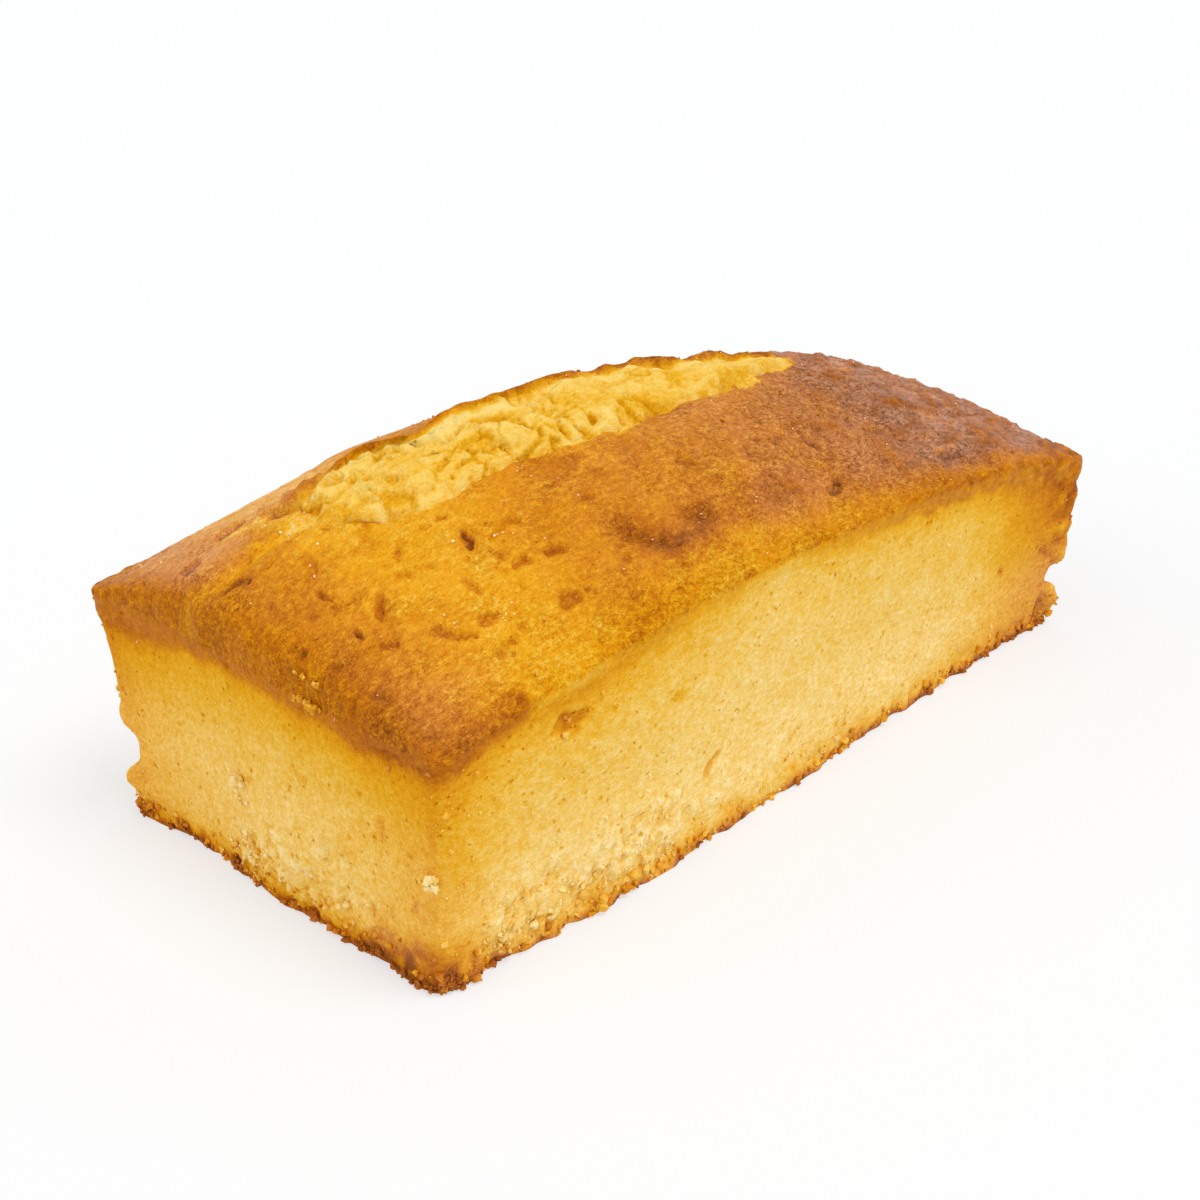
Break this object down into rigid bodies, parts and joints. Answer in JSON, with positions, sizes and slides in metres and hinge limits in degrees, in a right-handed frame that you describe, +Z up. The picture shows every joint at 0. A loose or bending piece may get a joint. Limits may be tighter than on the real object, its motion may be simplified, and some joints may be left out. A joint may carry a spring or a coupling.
{
  "type": "pound cake loaf",
  "caption": "Whole uncut pound cake loaf with slanting sides and a domed, browned top that has split lengthwise over bare yellow crumb.",
  "frame": {"origin": "middle of the flat base", "axes": "+X along the loaf towards its lower end, +Y across it towards the side where the crust edge stands up along the crest, +Z up"},
  "size_m": [0.2429, 0.1107, 0.0915],
  "materials": {
    "baked_cake": "matt porous yellow crumb under a browned crust with a faint sheen"
  },
  "bodies": {
    "root": {"loaf": "baked_cake"}
  },
  "joints": []
}
